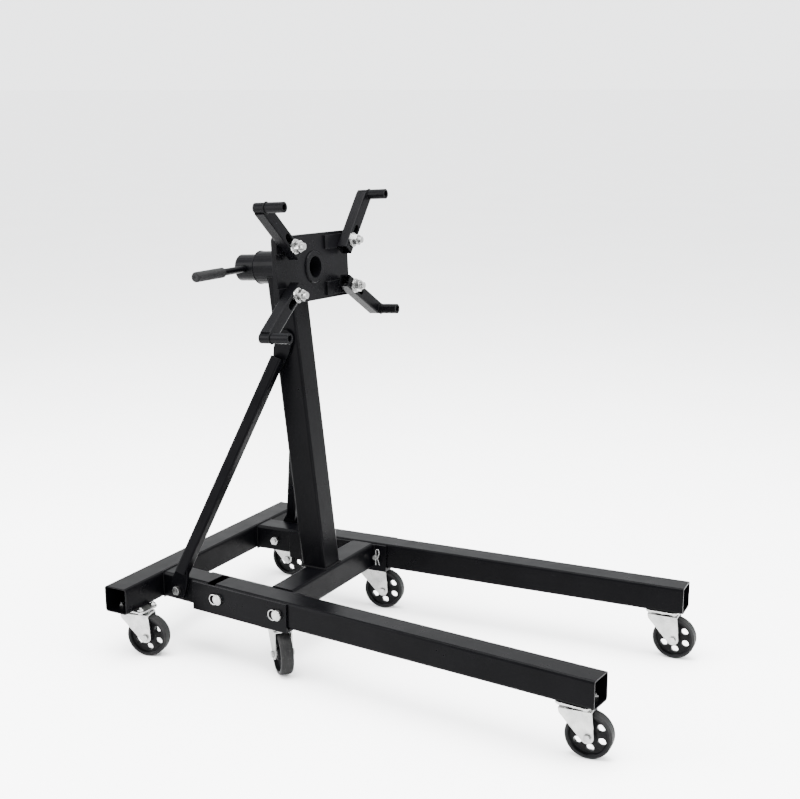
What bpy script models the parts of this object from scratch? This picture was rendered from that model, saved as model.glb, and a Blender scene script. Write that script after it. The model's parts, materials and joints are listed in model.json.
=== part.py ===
"""Folding engine stand with a rotating mounting head, six swivel casters and two legs that fold up.

Frame: +X forward along the legs, +Y to the left, +Z up, origin on the floor under the middle of
the stand. Lengths are metres and angles are degrees unless a name says otherwise.
"""
import math

import bmesh
import bpy
from mathutils import Matrix, Vector

# ---- driving dimensions -------------------------------------------------------------------------
GAP = 0.0003             # clearance left between pieces that touch
TUBE = 0.0635            # legs and cross member, square tube
TUBE_WALL = 0.003
TUBE_CORNER = 0.006      # outside corner radius of the square tubes

BASE_LENGTH = 1.203      # rear face of the rear crossbar to the front ends of the legs
DECK_Z = 0.183           # top of the base tubes above the floor
CROSSBAR_LENGTH = 0.733
CROSSBAR_WIDTH = 0.0635
RAIL_HALF_SPACING = 0.197  # rail centrelines at the rear crossbar
SPLAY = 4.15             # each rail turns outward by this much

STUB_LENGTH = 0.142      # rail stub welded to the crossbar, ends just behind the leg
SOCKET_START = 0.100     # distances along a rail from the crossbar's front face
SOCKET_END = 0.380
SOCKET_WALL = 0.005
SOCKET_TOP_DROP = 0.003
SOCKET_DEPTH = 0.0725    # deck level to the socket's underside
WEB_TOP = 0.0661         # deck level to the floor of the socket
LEG_START = 0.165
LEG_CHAMFER = 0.006      # lower rear corner of a leg, so that it clears the socket floor
PIVOT_S = 0.180
LOCK_S = 0.356
PIN_DROP = 0.032         # deck level to the pin axes
PIN_RADIUS = 0.006
LOCK_ARC_ROOM = 0.0035
FOOT_BOLT_S = 0.055
FOOT_BOLT_DROP = 0.034

MIDDLE_X = 0.379         # centre of the middle crossbar, ahead of the rear face
COLUMN = 0.0675
COLUMN_WALL = 0.004
COLUMN_X = 0.370         # column centre at deck level, ahead of the rear face
COLUMN_LEAN = 6.6        # rearward lean of the column

HEAD_X = 0.3665          # centre of the mounting plate's front face
HEAD_RISE = 0.730        # the same point above the deck
HEAD_TILT = 4.0          # the head axis rises toward the front
HEAD_ROLL = -2.5         # how the head stands at rest, about its own axis
HANDLE_ROLL = -1.2
SLEEVE_RADIUS = 0.039
SLEEVE_BORE = 0.0323
SLEEVE_REAR = -0.150     # along the head axis from the plate's front face
SLEEVE_FRONT = -0.022
SPINDLE_RADIUS = 0.0317
SPINDLE_BORE = 0.0257
SPINDLE_REAR = -0.204
SPINDLE_FRONT = 0.0045
WELD_WIDTH = 0.006       # weld bead where the spindle comes through the plate
HANDLE_AT = -0.176
HANDLE_RADIUS = 0.0085
HANDLE_TIP = -0.212
GRIP_RADIUS = 0.012
GRIP_START = -0.118
GRIP_END = -0.222

PLATE_WIDTH = 0.305
PLATE_HEIGHT = 0.155
PLATE_THICK = 0.012
PAD_THICK = 0.005
PAD_HEIGHT = 0.032
PAD_INNER = 0.047
PAD_OUTER = 0.156
BOLT_Y = 0.125
BOLT_Z = 0.0545
BOLT_RADIUS = 0.008

ARM_WIDTH = 0.030
ARM_DEPTH = 0.028
ARM_WALL = 0.0035
ARM_REACH = 0.147        # arm bolt to peg axis, arm pulled right out
ARM_TAIL = 0.018
ARM_TRAVEL = 0.045       # how far an arm slides in along its slot
PEG_RADIUS = 0.012
PEG_BORE = 0.0075
PEG_LENGTH = 0.075
WASHER_RADIUS = 0.017
WASHER_THICK = 0.0035

BRACE = 0.028            # square tube, flattened at both ends
BRACE_WALL = 0.0025
BRACE_TAB = 0.008        # thickness of a flattened end
BRACE_TAB_HALF = 0.022
BRACE_TAB_LENGTH = 0.055  # bolt to the start of the square tube
BRACE_TAB_SHOULDER = 0.03025  # bolt to where the flattened end starts to narrow
BRACE_TOP_X = 0.306
BRACE_TOP_RISE = 0.562
BRACE_BOLT_RADIUS = 0.006

WHEEL_RADIUS = 0.050
WHEEL_HALF_WIDTH = 0.015
WEB_HALF = 0.0045        # half thickness of the wheel between its hub and its rim
RIM_INNER = 0.041
HUB_RADIUS = 0.015
TRAIL = 0.027            # swivel axis to wheel axle
AXLE_RADIUS = 0.005
WHEEL_HOLES = 6
WHEEL_HOLE_TURN = 0.42   # where the first hole stands at rest, as a share of their spacing
WHEEL_HOLE_PITCH = 0.0295
WHEEL_HOLE_RADIUS = 0.0085
HOLE_STEPS = 8
CASTER_PLATE_X = 0.078
CASTER_PLATE_Y = 0.064
CASTER_PLATE_THICK = 0.0035
FORK_SHEET = 0.003
FORK_HALF_GAP = 0.0185
CROWN_REACH = 0.035      # swivel axis to the front and rear edges of the fork at its top

# ---- derived places -----------------------------------------------------------------------------
FRONT_CASTER_S = 1.092   # along the rail from the crossbar's front face
FRONT_HEADING = 10       # the front wheels trail this far off their rail, toward the middle line
FRONT_REACH = CROSSBAR_WIDTH + FRONT_CASTER_S * math.cos(math.radians(SPLAY))
FRONT_REACH += (TRAIL + WHEEL_RADIUS) * math.cos(math.radians(FRONT_HEADING - SPLAY))
# the crossbar and the front wheels are the two ends, and the origin is about midway
REAR_X = -FRONT_REACH / 2
CROSSBAR_FRONT = REAR_X + CROSSBAR_WIDTH
RAIL_LENGTH = (BASE_LENGTH - CROSSBAR_WIDTH) / math.cos(math.radians(SPLAY))
SOCKET_INNER = TUBE / 2 + GAP
SOCKET_OUTER = SOCKET_INNER + SOCKET_WALL
PIN_Z = DECK_Z - PIN_DROP
SIDES = {"left": 1, "right": -1}
# each arm's corner of the plate, its swivel angle at rest from the plate's left-pointing axis toward
# its top, and how far it is pushed in along its slot
ARMS = {
    "upper_left": (1, 1, 50.3, 0.011),
    "lower_left": (1, -1, -30.0, 0.011),
    "upper_right": (-1, 1, 138.7, 0.011),
    "lower_right": (-1, -1, -142.9, 0.009),
}
# where each caster sits along its rail (None is the rear crossbar), and the way its wheel trails
CASTERS = {
    "rear_left": (1, None, 4),
    "rear_right": (-1, None, 14),
    "middle_left": (1, 0.331, 8),
    "middle_right": (-1, 0.331, -38),
    "front_left": (1, FRONT_CASTER_S, 0),
    "front_right": (-1, FRONT_CASTER_S, FRONT_HEADING),
}
REAR_CASTER_X = 0.046
REAR_CASTER_Y = 0.308

# ---- materials ----------------------------------------------------------------------------------
FINISHES = {
    "black_paint": ((0.012, 0.012, 0.014), 0.32, 0.0),
    "zinc": ((0.72, 0.72, 0.70), 0.30, 1.0),
    "rubber": ((0.030, 0.030, 0.032), 0.75, 0.0),
    "wheel_plastic": ((0.022, 0.022, 0.024), 0.45, 0.0),
}


def make_materials():
    made = {}
    for name, (colour, roughness, metallic) in FINISHES.items():
        material = bpy.data.materials.new(name)
        material.use_nodes = True
        shader = material.node_tree.nodes["Principled BSDF"]
        shader.inputs["Base Color"].default_value = (*colour, 1.0)
        shader.inputs["Roughness"].default_value = roughness
        shader.inputs["Metallic"].default_value = metallic
        made[name] = material
    return made


# ---- mesh helpers -------------------------------------------------------------------------------
def clear_scene():
    for obj in list(bpy.data.objects):
        bpy.data.objects.remove(obj, do_unlink=True)


def rounded_rectangle(width, height, radius, steps=2):
    """Points of a rounded rectangle, counter-clockwise, each corner an arc of the given steps."""
    points = []
    for sx, sy, start in ((1, 1, 0), (-1, 1, 90), (-1, -1, 180), (1, -1, 270)):
        cx = sx * (width / 2 - radius)
        cy = sy * (height / 2 - radius)
        for i in range(steps + 1):
            a = math.radians(start + 90 * i / steps)
            points.append((cx + radius * math.cos(a), cy + radius * math.sin(a)))
    return points


def circle(radius, steps, turn=0.0):
    angles = [turn + 2 * math.pi * i / steps for i in range(steps)]
    return [(radius * math.cos(a), radius * math.sin(a)) for a in angles]


def prism(outer, inner, start, end):
    """A bar along X between two ends. The outline is (y, z) points, and inner is a matching outline
    for a tube or None. An end is an X value or a function of a point."""
    mesh = bmesh.new()

    def at(value, point):
        return value(point) if callable(value) else value

    def ring(points, value):
        return [mesh.verts.new((at(value, p), p[0], p[1])) for p in points]

    near = ring(outer, start)
    far = ring(outer, end)
    count = len(outer)
    for i in range(count):
        j = (i + 1) % count
        mesh.faces.new((near[i], near[j], far[j], far[i]))
    if inner is None:
        mesh.faces.new(near[::-1])
        mesh.faces.new(far)
    else:
        near_in = ring(inner, start)
        far_in = ring(inner, end)
        for i in range(count):
            j = (i + 1) % count
            mesh.faces.new((far_in[i], far_in[j], near_in[j], near_in[i]))
            mesh.faces.new((near[j], near[i], near_in[i], near_in[j]))
            mesh.faces.new((far[i], far[j], far_in[j], far_in[i]))
    bmesh.ops.recalc_face_normals(mesh, faces=mesh.faces)
    return mesh


def square_tube(width, height, wall, radius, start, end):
    outer = rounded_rectangle(width, height, radius)
    inner = rounded_rectangle(width - 2 * wall, height - 2 * wall, max(radius - wall, 0.0008))
    return prism(outer, inner, start, end)


def box(low, high):
    mesh = bmesh.new()
    bmesh.ops.create_cube(mesh, size=1.0)
    for v in mesh.verts:
        v.co = Vector([lo if c < 0 else hi for c, lo, hi in zip(v.co, low, high)])
    return mesh


def rod(radius, start, end, steps=12, turn=0.0):
    """A solid cylinder along X."""
    return prism(circle(radius, steps, turn), None, start, end)


def turned(profile, steps):
    """A closed (x, radius) profile turned about X. No profile point may lie on the axis."""
    mesh = bmesh.new()
    rings = []
    for i in range(steps):
        a = 2 * math.pi * i / steps
        rings.append([mesh.verts.new((x, r * math.cos(a), r * math.sin(a))) for x, r in profile])
    for i in range(steps):
        here = rings[i]
        there = rings[(i + 1) % steps]
        for k in range(len(profile)):
            m = (k + 1) % len(profile)
            mesh.faces.new((here[k], here[m], there[m], there[k]))
    bmesh.ops.recalc_face_normals(mesh, faces=mesh.faces)
    return mesh


def hexagon(across_flats):
    return circle(across_flats / 2 / math.cos(math.pi / 6), 6)


def moved(mesh, matrix):
    mesh.transform(matrix)
    return mesh


def place(name, mesh, material, matrix, smooth=True, parent=None):
    """Turn a bmesh into a named object with its material, at a place in the world."""
    data = bpy.data.meshes.new(name)
    mesh.to_mesh(data)
    mesh.free()
    if smooth:
        data.shade_smooth()
        data.set_sharp_from_angle(angle=math.radians(32))
    data.materials.append(material)
    obj = bpy.data.objects.new(name, data)
    bpy.context.scene.collection.objects.link(obj)
    obj.matrix_world = matrix
    if parent is not None:
        bpy.context.view_layer.update()
        obj.parent = parent
        obj.matrix_parent_inverse = parent.matrix_world.inverted()
    return obj


def tool(name, mesh, matrix):
    """A helper solid for a Boolean, hidden from renders and left out of the build."""
    data = bpy.data.meshes.new(name)
    mesh.to_mesh(data)
    mesh.free()
    obj = bpy.data.objects.new(name, data)
    bpy.context.scene.collection.objects.link(obj)
    obj.matrix_world = matrix
    obj.hide_render = True
    obj.display_type = "WIRE"
    return obj


def combine(obj, helper, operation):
    modifier = obj.modifiers.new(helper.name, "BOOLEAN")
    modifier.operation = operation
    modifier.solver = "EXACT"
    modifier.object = helper


def cut(obj, mesh, matrix, label):
    combine(obj, tool("cutter_" + obj.name + "_" + label, mesh, matrix), "DIFFERENCE")


def add(obj, mesh, matrix, label):
    combine(obj, tool("union_" + obj.name + "_" + label, mesh, matrix), "UNION")


def joint_empty(name, matrix, parent=None):
    """An empty on a joint's axis, to parent the pieces that move with it."""
    empty = bpy.data.objects.new(name, None)
    bpy.context.scene.collection.objects.link(empty)
    empty.matrix_world = matrix
    bpy.context.view_layer.update()
    if parent is not None:
        empty.parent = parent
        empty.matrix_parent_inverse = parent.matrix_world.inverted()
    return empty


def frame_matrix(origin, x_axis, z_axis):
    """A right-handed frame whose X is x_axis and whose Z is z_axis made square to it."""
    x = Vector(x_axis).normalized()
    y = Vector(z_axis).cross(x).normalized()
    z = x.cross(y)
    matrix = Matrix((x, y, z)).transposed().to_4x4()
    matrix.translation = Vector(origin)
    return matrix


def turn_x(degrees):
    return Matrix.Rotation(math.radians(degrees), 4, "X")


def turn_y(degrees):
    return Matrix.Rotation(math.radians(degrees), 4, "Y")


def turn_z(degrees):
    return Matrix.Rotation(math.radians(degrees), 4, "Z")


# ---- frames of reference ------------------------------------------------------------------------
def rail_frame(side, s=0.0, z=DECK_Z):
    """A frame on a rail's centreline, X along the rail, Y to the left, Z up."""
    a = math.radians(SPLAY) * side
    origin = Vector((CROSSBAR_FRONT, side * RAIL_HALF_SPACING, z))
    origin += s * Vector((math.cos(a), math.sin(a), 0))
    return Matrix.Translation(origin) @ turn_z(SPLAY * side)


def cross_frame(side, s, z):
    """A frame on the rail's centreline whose X points outward, square to the rail."""
    return rail_frame(side, s, z) @ turn_z(90 * side)


def head_frame(roll):
    """The mounting head's frame: origin in the middle of the plate's front face, X forward."""
    origin = Vector((REAR_X + HEAD_X, 0, DECK_Z + HEAD_RISE))
    return Matrix.Translation(origin) @ turn_y(-HEAD_TILT) @ turn_x(roll)


def column_frame():
    """Column frame: X up along the column, Y to the left, origin at deck level."""
    a = math.radians(COLUMN_LEAN)
    up = Vector((-math.sin(a), 0, math.cos(a)))
    ahead = Vector((math.cos(a), 0, math.sin(a)))
    return frame_matrix((REAR_X + COLUMN_X, 0, DECK_Z), up, -ahead)


# ---- base frame ---------------------------------------------------------------------------------
def build_crossbars(paint):
    half = CROSSBAR_LENGTH / 2
    centre = Vector((REAR_X + CROSSBAR_WIDTH / 2, 0, DECK_Z - TUBE / 2))
    bar = square_tube(CROSSBAR_WIDTH, TUBE, TUBE_WALL, TUBE_CORNER, -half, half)
    place("rear_crossbar", bar, paint, Matrix.Translation(centre) @ turn_z(90))

    centre = Vector((REAR_X + MIDDLE_X, 0, DECK_Z - TUBE / 2))
    slope = math.tan(math.radians(SPLAY))
    reach = RAIL_HALF_SPACING + (MIDDLE_X - CROSSBAR_WIDTH) * slope
    reach -= (SOCKET_OUTER + GAP) / math.cos(math.radians(SPLAY))
    # the bar's own Y points to the rear, so its ends follow the rails' splay
    bar = square_tube(TUBE, TUBE, TUBE_WALL, TUBE_CORNER,
                      lambda p: -reach + p[0] * slope, lambda p: reach - p[0] * slope)
    place("middle_crossbar", bar, paint, Matrix.Translation(centre) @ turn_z(90))


def build_rail(label, side, paint):
    """One rail: the stub behind, the socket that holds the leg, and the folding leg."""
    frame = rail_frame(side, z=DECK_Z - TUBE / 2)
    slope = math.tan(math.radians(SPLAY)) * side
    stub = square_tube(TUBE, TUBE, TUBE_WALL, TUBE_CORNER,
                       lambda p: GAP + p[0] * slope, STUB_LENGTH)
    stub = place(label + "_stub", stub, paint, frame)
    bolt = cross_frame(side, FOOT_BOLT_S, DECK_Z - FOOT_BOLT_DROP)
    cut(stub, rod(BRACE_BOLT_RADIUS + GAP, -TUBE, TUBE), bolt, "bolt")

    top = -SOCKET_TOP_DROP
    socket = place(label + "_socket",
                   box((SOCKET_START, -SOCKET_OUTER, -SOCKET_DEPTH), (SOCKET_END, SOCKET_OUTER, top)),
                   paint, rail_frame(side), smooth=False)
    trough = box((SOCKET_START - 0.01, -SOCKET_INNER, -WEB_TOP), (SOCKET_END + 0.01, SOCKET_INNER, 0.01))
    cut(socket, trough, rail_frame(side), "trough")
    for name, s in (("pivot", PIVOT_S), ("lock", LOCK_S)):
        hole = rod(PIN_RADIUS + GAP, -TUBE, TUBE)
        cut(socket, hole, cross_frame(side, s, PIN_Z), name)

    pivot = joint_empty(label + "_leg_joint", rail_frame(side, PIVOT_S, PIN_Z))
    leg = square_tube(TUBE, TUBE, TUBE_WALL, TUBE_CORNER, LEG_START, RAIL_LENGTH)
    leg = place(label + "_leg", leg, paint, frame, parent=pivot)
    cut(leg, rod(PIN_RADIUS + GAP, -TUBE, TUBE), cross_frame(side, PIVOT_S, PIN_Z), "pivot")
    cut(leg, rod(PIN_RADIUS + GAP, -TUBE, TUBE), cross_frame(side, LOCK_S, PIN_Z), "lock")
    # the lock hole is open downward, hidden in the socket, so that the leg lifts off its pin, and it
    # is wider to the rear because the pin leaves along an arc round the pivot
    slot = box((-PIN_RADIUS - LOCK_ARC_ROOM, -TUBE, -TUBE), (PIN_RADIUS + GAP, TUBE, 0))
    cut(leg, slot, rail_frame(side, LOCK_S, PIN_Z), "slot")
    corner = box((-0.02, -TUBE, -0.02), (0.02, TUBE, 0.02))
    offset = LEG_CHAMFER / math.sqrt(2) - 0.02
    at = Matrix.Translation((LEG_START, 0, -TUBE / 2)) @ turn_y(45) @ Matrix.Translation((0, 0, offset))
    cut(leg, corner, frame @ at, "corner")


def build_pin(name, side, s, zinc):
    """A headed pin through the socket, its round head outside and a cross hole for its clip."""
    head = 0.0125
    reach = SOCKET_OUTER + 0.016
    shank = rod(PIN_RADIUS, -reach, SOCKET_OUTER + GAP + 0.002)
    pin = place(name, shank, zinc, cross_frame(side, s, PIN_Z))
    edge = SOCKET_OUTER + GAP
    add(pin, rod(head, edge, edge + 0.0065, 16), cross_frame(side, s, PIN_Z), "head")
    hole = moved(rod(0.0016, -0.02, 0.02, 8), turn_y(90))
    at = cross_frame(side, s, PIN_Z) @ Matrix.Translation((-SOCKET_OUTER - 0.008, 0, 0))
    cut(pin, hole, at, "clip_hole")


# ---- column, braces and head --------------------------------------------------------------------
def build_column(paint):
    frame = column_frame()
    slope = math.tan(math.radians(COLUMN_LEAN))
    top = (HEAD_RISE - 0.01) / math.cos(math.radians(COLUMN_LEAN))
    # the column's own Z points to the rear, so the foot is cut level with the deck
    tube = square_tube(COLUMN, COLUMN, COLUMN_WALL, TUBE_CORNER,
                       lambda p: GAP / math.cos(math.radians(COLUMN_LEAN)) + p[1] * slope, top)
    column = place("column", tube, paint, frame)
    cut(column, rod(SLEEVE_RADIUS + GAP, -0.3, 0.1, 28), head_frame(0), "saddle")
    bolt = Vector((REAR_X + BRACE_TOP_X, 0, DECK_Z + BRACE_TOP_RISE))
    cut(column, rod(BRACE_BOLT_RADIUS + GAP, -0.1, 0.1), Matrix.Translation(bolt) @ turn_z(90), "bolt")


def build_brace(label, side, paint):
    """A square tube whose ends are flattened, bolted to the column's side and outside the stub."""
    rail = rail_frame(side, FOOT_BOLT_S, DECK_Z - FOOT_BOLT_DROP)
    foot = rail @ Vector((0, side * (TUBE / 2 + GAP + BRACE_TAB / 2), 0))
    head = Vector((REAR_X + BRACE_TOP_X, side * (COLUMN / 2 + GAP + BRACE_TAB / 2),
                   DECK_Z + BRACE_TOP_RISE))
    rise = math.degrees(math.atan2(head.z - foot.z, head.x - foot.x))
    foot_frame = Matrix.Translation(foot) @ turn_z(SPLAY * side) @ turn_y(-rise)
    head_end = Matrix.Translation(head) @ turn_y(180 - rise)
    low = foot_frame @ Vector((BRACE_TAB_LENGTH, 0, 0))
    # the tube stands outward of its tab here, because the column is beside it
    high = head_end @ Vector((BRACE_TAB_LENGTH, side * (BRACE / 2 - BRACE_TAB / 2 + 0.001), 0))
    along = (high - low).normalized()
    tube = square_tube(BRACE, BRACE, BRACE_WALL, 0.004, -0.006, (high - low).length + 0.006)
    brace = place(label + "_brace", tube, paint, frame_matrix(low, along, Vector((0, side, 0))))
    add(brace, flattened_end(), foot_frame, "foot")
    add(brace, flattened_end(), head_end, "head")
    across = turn_z(90)
    cut(brace, rod(BRACE_BOLT_RADIUS + GAP, -TUBE, TUBE), foot_frame @ across, "foot_bolt")
    cut(brace, rod(BRACE_BOLT_RADIUS + GAP, -TUBE, TUBE), head_end @ across, "top_bolt")


def flattened_end():
    """A rounded tab in the XZ plane round its bolt at the origin, narrowing along +X to the tube."""
    reach = BRACE_TAB_LENGTH + 0.012
    outline = [(reach, -BRACE / 2), (reach, BRACE / 2), (BRACE_TAB_SHOULDER, BRACE_TAB_HALF)]
    for i in range(9):
        a = math.radians(90 + 22.5 * i)
        outline.append((BRACE_TAB_HALF * math.cos(a), BRACE_TAB_HALF * math.sin(a)))
    outline.append((BRACE_TAB_SHOULDER, -BRACE_TAB_HALF))
    return side_extrusion(outline, BRACE_TAB / 2)


def side_extrusion(outline, half):
    """A closed (x, z) outline extruded from -half to half along Y."""
    mesh = bmesh.new()
    left = [mesh.verts.new((x, half, z)) for x, z in outline]
    right = [mesh.verts.new((x, -half, z)) for x, z in outline]
    mesh.faces.new(left)
    mesh.faces.new(right[::-1])
    for i in range(len(outline)):
        j = (i + 1) % len(outline)
        mesh.faces.new((left[i], left[j], right[j], right[i]))
    bmesh.ops.recalc_face_normals(mesh, faces=mesh.faces)
    return mesh


def through_bolt(name, material, matrix, low, high):
    """A hexagon bolt along X with its nut: the clamped stack runs from low to high."""
    head = 0.008
    nut = 0.010
    bolt = place(name, rod(BRACE_BOLT_RADIUS, low - nut - 0.004, high + 0.002), material, matrix)
    add(bolt, prism(hexagon(0.019), None, high, high + head), matrix, "head")
    add(bolt, prism(hexagon(0.019), None, low - nut, low), matrix, "nut")
    return bolt


def build_head(paint, zinc, rubber):
    """The fixed sleeve and everything that turns in it."""
    fixed = head_frame(0)
    sleeve = turned([(SLEEVE_REAR, SLEEVE_BORE), (SLEEVE_REAR, SLEEVE_RADIUS),
                     (SLEEVE_FRONT, SLEEVE_RADIUS), (SLEEVE_FRONT, SLEEVE_BORE)], 28)
    place("head_sleeve", sleeve, paint, fixed)

    spin = joint_empty("head_joint", fixed)
    bead = SPINDLE_RADIUS + WELD_WIDTH
    spindle = turned([(SPINDLE_REAR, SPINDLE_BORE), (SPINDLE_REAR, SPINDLE_RADIUS),
                      (GAP, SPINDLE_RADIUS), (GAP, bead), (SPINDLE_FRONT / 2, bead),
                      (SPINDLE_FRONT, bead - SPINDLE_FRONT / 2), (SPINDLE_FRONT, SPINDLE_BORE)], 28)
    spindle = place("head_spindle", spindle, paint, head_frame(HEAD_ROLL), parent=spin)
    bar_frame = head_frame(HANDLE_ROLL) @ Matrix.Translation((HANDLE_AT, 0, 0)) @ turn_z(90)
    cut(spindle, rod(HANDLE_RADIUS + GAP, -0.06, 0.06, 16), bar_frame, "handle")
    place("handle_bar", rod(HANDLE_RADIUS, HANDLE_TIP, 0.038, 16), paint, bar_frame, parent=spin)
    grip = turned([(GRIP_END, 0.002), (GRIP_END, GRIP_RADIUS - 0.0025), (GRIP_END + 0.0025, GRIP_RADIUS),
                   (GRIP_START, GRIP_RADIUS), (GRIP_START, HANDLE_RADIUS + GAP),
                   (HANDLE_TIP - GAP, HANDLE_RADIUS + GAP), (HANDLE_TIP - GAP, 0.002)], 20)
    place("handle_grip", grip, rubber, bar_frame, parent=spin)
    build_plate(paint, spin)
    for name in ARMS:
        build_arm(name, paint, zinc, spin)


def build_plate(paint, spin):
    frame = head_frame(HEAD_ROLL)
    slab = prism(rounded_rectangle(PLATE_WIDTH, PLATE_HEIGHT, 0.008), None, -PLATE_THICK, 0)
    plate = place("mounting_plate", slab, paint, frame, smooth=False, parent=spin)
    for name, (sy, sz, _, _) in ARMS.items():
        ends = sorted((sy * PAD_INNER, sy * PAD_OUTER))
        low = (-0.003, ends[0], sz * BOLT_Z - PAD_HEIGHT / 2)
        high = (PAD_THICK, ends[1], sz * BOLT_Z + PAD_HEIGHT / 2)
        add(plate, box(low, high), frame, name)
    cut(plate, rod(SPINDLE_RADIUS + GAP, -0.05, 0.05, 28), frame, "bore")
    for name, (sy, sz, _, _) in ARMS.items():
        at = frame @ Matrix.Translation((0, sy * BOLT_Y, sz * BOLT_Z))
        cut(plate, rod(BOLT_RADIUS + GAP, -0.05, 0.05, 16), at, name + "_bolt")


def build_arm(name, paint, zinc, spin):
    """One mounting arm: a slotted square tube with a peg tube across its end, and its bolt."""
    sy, sz, angle, slid = ARMS[name]
    bolt_frame = head_frame(HEAD_ROLL) @ Matrix.Translation((0, sy * BOLT_Y, sz * BOLT_Z)) @ turn_x(angle)
    swivel = joint_empty(name + "_arm_joint", bolt_frame, spin)
    back = PAD_THICK + GAP
    front = back + ARM_DEPTH
    out = ARM_REACH - slid
    # the arm's frame has X along the arm and Z forward along the bolt
    turn = Matrix(((0, 0, 1, 0), (1, 0, 0, 0), (0, 1, 0, 0), (0, 0, 0, 1)))
    along = bolt_frame @ turn
    shift = Matrix.Translation((0, 0, (back + front) / 2))
    body = square_tube(ARM_WIDTH, ARM_DEPTH, ARM_WALL, 0.003, -ARM_TAIL - slid, out - 0.004)
    arm = place(name + "_arm", body, paint, along @ shift, parent=swivel)
    peg_at = along @ Matrix.Translation((out, 0, back)) @ turn_y(-90)
    add(arm, rod(PEG_RADIUS, 0.0, PEG_LENGTH, 16), peg_at, "peg")
    cut(arm, rod(PEG_BORE, -0.01, PEG_LENGTH + 0.01, 12), peg_at, "bore")
    slot = bmesh.new()
    half = BOLT_RADIUS + 2 * GAP
    points = []
    for i in range(7):
        a = math.radians(-90 + 30 * i)
        points.append((ARM_TRAVEL + half * math.cos(a), half * math.sin(a)))
    for i in range(7):
        a = math.radians(90 + 30 * i)
        points.append((half * math.cos(a), half * math.sin(a)))
    low = [slot.verts.new((x - slid, y, -0.02)) for x, y in points]
    high = [slot.verts.new((x - slid, y, 0.06)) for x, y in points]
    slot.faces.new(low[::-1])
    slot.faces.new(high)
    for i in range(len(points)):
        j = (i + 1) % len(points)
        slot.faces.new((low[i], low[j], high[j], high[i]))
    cut(arm, slot, along, "slot")

    head = 0.010
    rear = -PLATE_THICK - GAP
    nut_back = front + GAP
    nut_front = nut_back + WASHER_THICK + 0.013
    bolt = place(name + "_bolt", rod(BOLT_RADIUS, rear - 0.002, nut_front + 0.009, 16), zinc, bolt_frame,
                 parent=swivel)
    add(bolt, prism(hexagon(0.024), None, rear - head, rear), bolt_frame, "head")
    nut = place(name + "_nut", rod(WASHER_RADIUS, nut_back, nut_back + WASHER_THICK, 16), zinc, bolt_frame,
                parent=swivel)
    add(nut, prism(hexagon(0.024), None, nut_back + 0.001, nut_front), bolt_frame, "hexagon")
    cut(nut, rod(BOLT_RADIUS + GAP, 0.0, 0.1, 16), bolt_frame, "thread")


# ---- casters ------------------------------------------------------------------------------------
def build_caster(name, zinc, plastic):
    """A swivel caster: top plate, fork, axle and a wheel with a ring of round holes."""
    side, s, heading = CASTERS[name]
    if s is None:
        top = Matrix.Translation((REAR_X + REAR_CASTER_X, side * REAR_CASTER_Y, 0))
        under = DECK_Z - TUBE - GAP
    else:
        top = rail_frame(side, s, 0.0)
        under = DECK_Z - (SOCKET_DEPTH if "middle" in name else TUBE) - GAP
    crown = 2 * WHEEL_RADIUS + 0.0025
    race_low = crown + FORK_SHEET + GAP
    plate_low = under - CASTER_PLATE_THICK
    at = top @ Matrix.Translation((0, 0, plate_low))
    outline = rounded_rectangle(CASTER_PLATE_Y, CASTER_PLATE_X, 0.010)
    slab = moved(prism(outline, None, 0, CASTER_PLATE_THICK), turn_y(-90))
    plate = place(name + "_caster_plate", slab, zinc, at)
    race = [(race_low, 0.018), ((race_low + plate_low) / 2, 0.024), (plate_low + 0.001, 0.028)]
    drum = bmesh.new()
    rings = []
    for z, r in race:
        rings.append([drum.verts.new((x, y, z)) for x, y in circle(r, 16)])
    for a, b in zip(rings, rings[1:]):
        for i in range(16):
            j = (i + 1) % 16
            drum.faces.new((a[i], a[j], b[j], b[i]))
    drum.faces.new(rings[0][::-1])
    drum.faces.new(rings[-1])
    add(plate, drum, top, "race")

    base = top @ turn_z(heading)
    swivel = joint_empty(name + "_swivel_joint", base)
    axle_at = base @ Matrix.Translation((TRAIL, 0, WHEEL_RADIUS))
    fork = place(name + "_fork", fork_mesh(crown), zinc, base, smooth=False, parent=swivel)
    cut(fork, fork_hollow(crown), base, "hollow")
    cut(fork, moved(rod(AXLE_RADIUS + GAP, -0.05, 0.05, 16), turn_z(90)), axle_at, "axle")

    roll = joint_empty(name + "_roll_joint", axle_at, swivel)
    half = WHEEL_HALF_WIDTH
    section = [(half, AXLE_RADIUS + GAP), (half, HUB_RADIUS), (WEB_HALF, HUB_RADIUS), (WEB_HALF, RIM_INNER),
               (half, RIM_INNER), (half, WHEEL_RADIUS - 0.004), (half - 0.004, WHEEL_RADIUS)]
    wheel = turned(section + [(-x, r) for x, r in section[::-1]], 24)
    wheel = place(name + "_wheel", moved(wheel, turn_z(90)), plastic, axle_at, parent=roll)
    cut(wheel, wheel_holes(), axle_at, "holes")

    end = FORK_HALF_GAP + FORK_SHEET + GAP
    axle = moved(rod(AXLE_RADIUS, -end - 0.004, end + 0.002, 16), turn_z(90))
    axle = place(name + "_axle", axle, zinc, axle_at, parent=swivel)
    for label, low, high in (("head", end, end + 0.0045), ("nut", -end - 0.0055, -end)):
        add(axle, moved(prism(hexagon(0.014), None, low, high), turn_z(90)), axle_at, label)


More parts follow.
